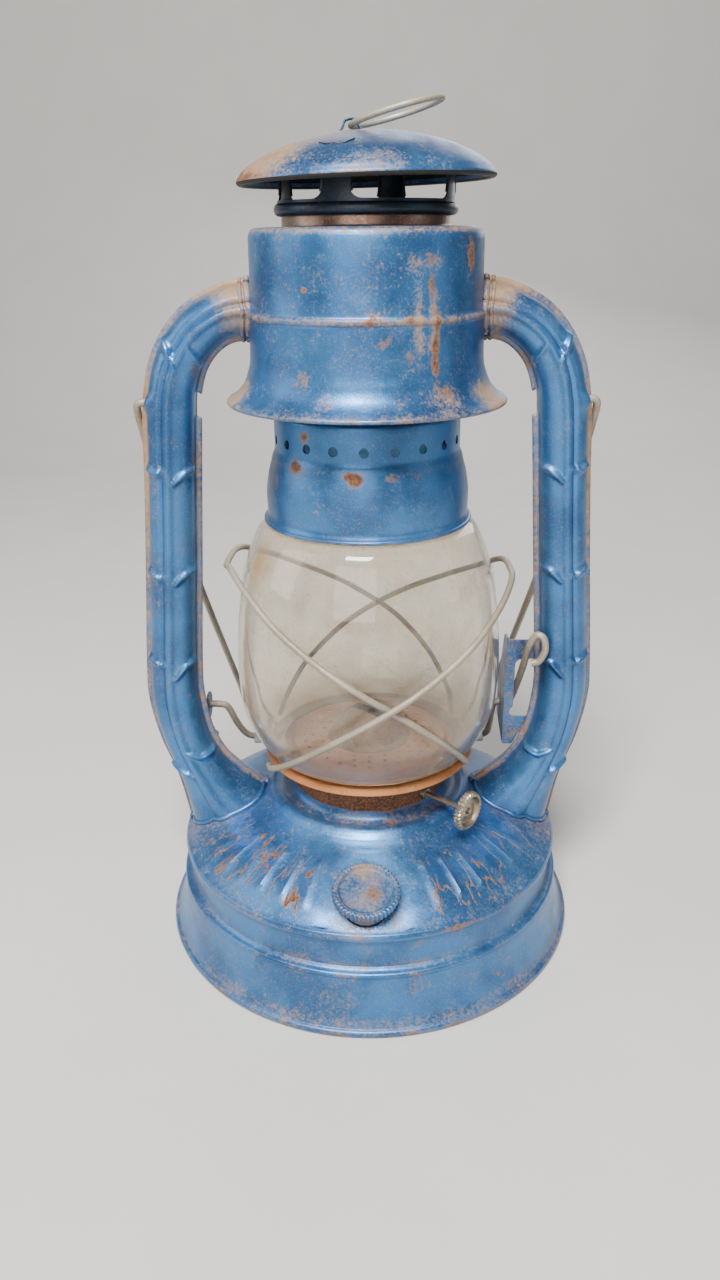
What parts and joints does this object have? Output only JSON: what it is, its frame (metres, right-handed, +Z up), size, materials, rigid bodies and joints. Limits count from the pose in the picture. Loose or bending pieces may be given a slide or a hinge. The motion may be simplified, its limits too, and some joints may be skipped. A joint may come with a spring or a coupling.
{
  "type": "barn lantern",
  "caption": "Tubular barn lantern with glass globe in a wire guard, lever globe lift, sprung crown, swinging bail, wick raiser and screw filler cap.",
  "frame": {"origin": "centre of the base rim on the surface the lantern stands on", "axes": "+Z up; -Y towards the filler cap; the air tubes stand at +X and -X"},
  "size_m": [0.172, 0.165, 0.3009],
  "materials": {
    "blue_paint": "satin blue enamel, worn and rust-spotted",
    "dark_paint": "dark smoked blue enamel",
    "rusty_steel": "bare steel under brown rust",
    "bare_steel": "dull tinned steel",
    "dull_wire": "dull galvanised wire",
    "brass": "tarnished brass",
    "glass": "clear glass with a dusty film",
    "wick_cotton": "woven cotton",
    "cork": "cork"
  },
  "bodies": {
    "frame": {"tank_shell": "blue_paint", "tank_bottom": "blue_paint", "fount_deck": "bare_steel", "filler_neck": "blue_paint", "burner_collar": "brass", "burner_body": "brass", "burner_screen": "brass", "wick_tube": "brass", "shaft_bushing": "bare_steel", "left_tube_front": "blue_paint", "left_tube_rear": "blue_paint", "right_tube_front": "blue_paint", "right_tube_rear": "blue_paint", "hood": "blue_paint", "lift_bracket": "blue_paint", "pivot_lug": "blue_paint", "crown_spring": "bare_steel"},
    "globe_carriage": {"globe_plate": "rusty_steel", "burner_cone": "rusty_steel", "lift_wing_left": "bare_steel", "lift_wing_right": "bare_steel", "globe": "glass", "guard_wire_left": "dull_wire", "guard_wire_right": "dull_wire"},
    "crown": {"cap": "blue_paint", "gallery": "dark_paint", "chimney_tube": "rusty_steel", "bell": "blue_paint", "ring_clip": "blue_paint"},
    "lift_ring": {"lift_ring": "dull_wire"},
    "bail": {"bail_handle": "dull_wire"},
    "lift_crank": {"lift_crank": "dull_wire"},
    "wick_raiser": {"wick_shaft": "bare_steel", "wick_sprocket_inner": "brass", "wick_sprocket_outer": "brass", "wick_knob": "bare_steel"},
    "wick": {"wick": "wick_cotton"},
    "filler_gasket": {"filler_gasket": "cork"},
    "filler_cap": {"filler_cap": "blue_paint"}
  },
  "joints": [
    {"name": "globe_lift", "type": "slide", "parent": "frame", "child": "globe_carriage", "axis": [0, 0, 1], "range_m": [0, 0.0122], "deforming": ["crown_spring"]},
    {"name": "lift_lever", "type": "hinge", "parent": "frame", "child": "lift_crank", "pos_m": [0, 0.014, 0.0842], "axis": [1, 0, 0], "range_deg": [0, 46]},
    {"name": "crown_lift", "type": "slide", "parent": "globe_carriage", "child": "crown", "axis": [0, 0, 1], "range_m": [0, 0.02], "stiffness_N_per_m": 120, "springref_m": -0.03, "deforming": ["crown_spring"]},
    {"name": "lift_ring_pivot", "type": "hinge", "parent": "crown", "child": "lift_ring", "pos_m": [-0.0046, 0, 0.2926], "axis": [0, -1, 0], "range_deg": [0, 152]},
    {"name": "bail_pivot", "type": "hinge", "parent": "frame", "child": "bail", "pos_m": [0, 0, 0.2084], "axis": [1, 0, 0], "range_deg": [0, 314]},
    {"name": "wick_turn", "type": "hinge", "parent": "frame", "child": "wick_raiser", "pos_m": [-0.0024, -0.00282, 0.064], "axis": [0.7615, -0.6481, 0], "range_deg": [-80, 280]},
    {"name": "wick_slide", "type": "slide", "parent": "frame", "child": "wick", "axis": [0, 0, 1], "range_m": [-0.0036, 0.0127]},
    {"name": "filler_thread", "type": "slide", "parent": "frame", "child": "filler_gasket", "axis": [-0.0077, -0.2587, 0.9659], "range_m": [0, 0.00376]},
    {"name": "filler_turn", "type": "hinge", "parent": "filler_gasket", "child": "filler_cap", "pos_m": [-0.00187, -0.06297, 0.0424], "axis": [-0.0077, -0.2587, 0.9659], "range_deg": [0, 540]}
  ],
  "couplings": [
    {"joint": "lift_lever", "follows": "globe_lift", "rad_per_m": 65.757},
    {"joint": "wick_turn", "follows": "wick_slide", "rad_per_m": 384.6},
    {"joint": "filler_turn", "follows": "filler_thread", "rad_per_m": 2500}
  ]
}
